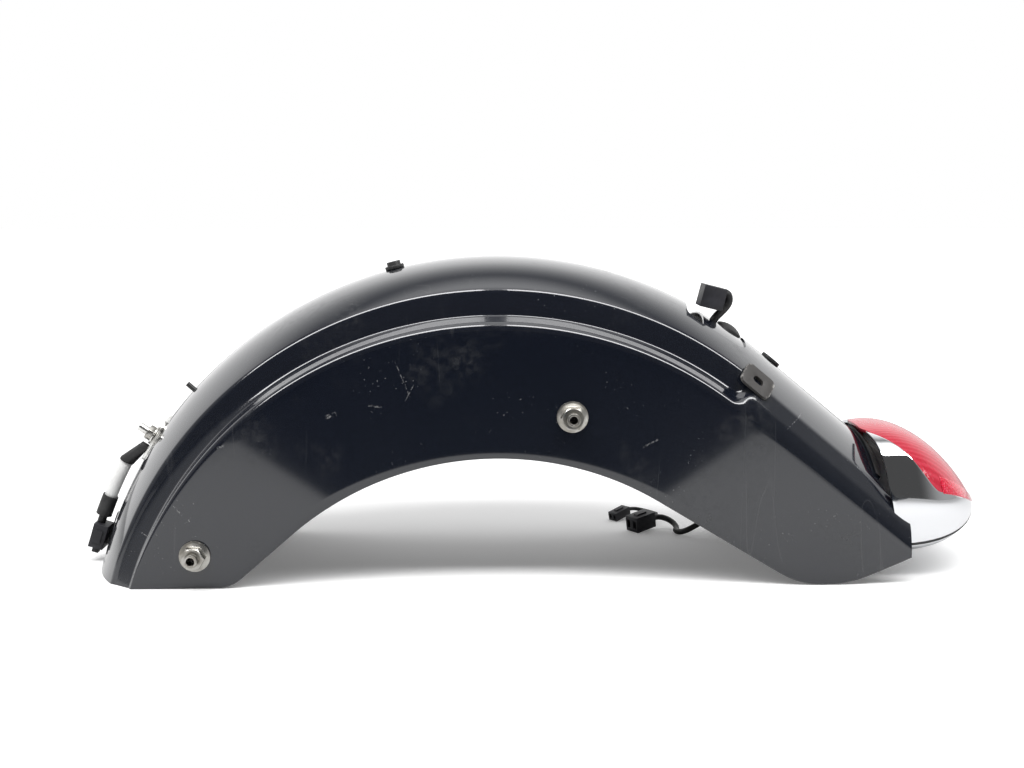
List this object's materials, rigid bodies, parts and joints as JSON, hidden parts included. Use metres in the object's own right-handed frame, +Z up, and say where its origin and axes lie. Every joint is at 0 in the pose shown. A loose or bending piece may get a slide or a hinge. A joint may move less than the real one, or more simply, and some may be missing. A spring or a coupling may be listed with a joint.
{
  "type": "motorcycle rear fender",
  "caption": "Pressed steel rear fender with stepped shoulders, side studs, crown fittings, wiring leads and a chrome tail lamp with a red lens.",
  "frame": {"origin": "on the floor, under the middle of the fender's length and width, without its floor lead", "axes": "+X from the front to the tail, +Y to the fender's right, +Z up"},
  "size_m": [0.8526, 0.2804, 0.294],
  "materials": {
    "black_paint": "gloss, worn, with fine scratches",
    "zinc": "zinc plated, satin",
    "black_steel": "black oxide, satin",
    "worn_steel": "black with bare worn edges",
    "black_rubber": "matte",
    "black_lead": "satin cable jacket",
    "light_tube": "pale heat-shrink tube",
    "black_plastic": "moulded, matte",
    "tin_terminal": "tinned",
    "chrome": "mirror polish",
    "red_lens": "moulded lens, gloss",
    "red_reflex": "prismatic reflex, gloss",
    "white_plastic": "moulded",
    "clear_glass": "clear"
  },
  "bodies": {
    "root": {"fender_shell": "black_paint", "stud_front_left": "zinc", "stud_front_right": "zinc", "stud_mid_left": "zinc", "stud_mid_right": "zinc", "nut_front_left": "zinc", "nut_front_right": "zinc", "nut_mid_left": "zinc", "nut_mid_right": "zinc", "stud_doublers": "black_paint", "seat_nut": "black_steel", "ring_grommet": "black_rubber", "signal_tab_left": "worn_steel", "signal_tab_right": "worn_steel", "crown_screw": "black_steel", "front_plate": "zinc", "plate_stud": "zinc", "plate_washer": "zinc", "plate_nut": "zinc", "lead_boot": "black_rubber", "lead_tube": "light_tube", "lead_sleeve": "black_rubber", "lead_neck": "black_lead", "front_connector": "black_plastic", "connector_latch": "black_plastic", "connector_clip": "black_plastic", "opening_bridge": "black_paint", "opening_seal": "black_rubber", "seat_lead": "black_lead", "seat_connector": "black_plastic", "seat_terminals": "tin_terminal", "main_harness": "black_lead", "harness_clips": "black_plastic", "lamp_bracket": "black_paint", "lamp_gasket": "black_rubber", "lamp_base": "white_plastic", "screw_spacers": "zinc", "lamp_screws": "zinc", "bulb_socket": "white_plastic", "lamp_bulb": "clear_glass", "lamp_housing": "chrome", "lamp_lens": "red_lens", "side_reflectors": "red_reflex", "floor_lead": "black_lead", "link_lead": "black_lead", "lead_connector_a": "black_plastic", "lead_connector_b": "black_plastic"}
  },
  "joints": []
}
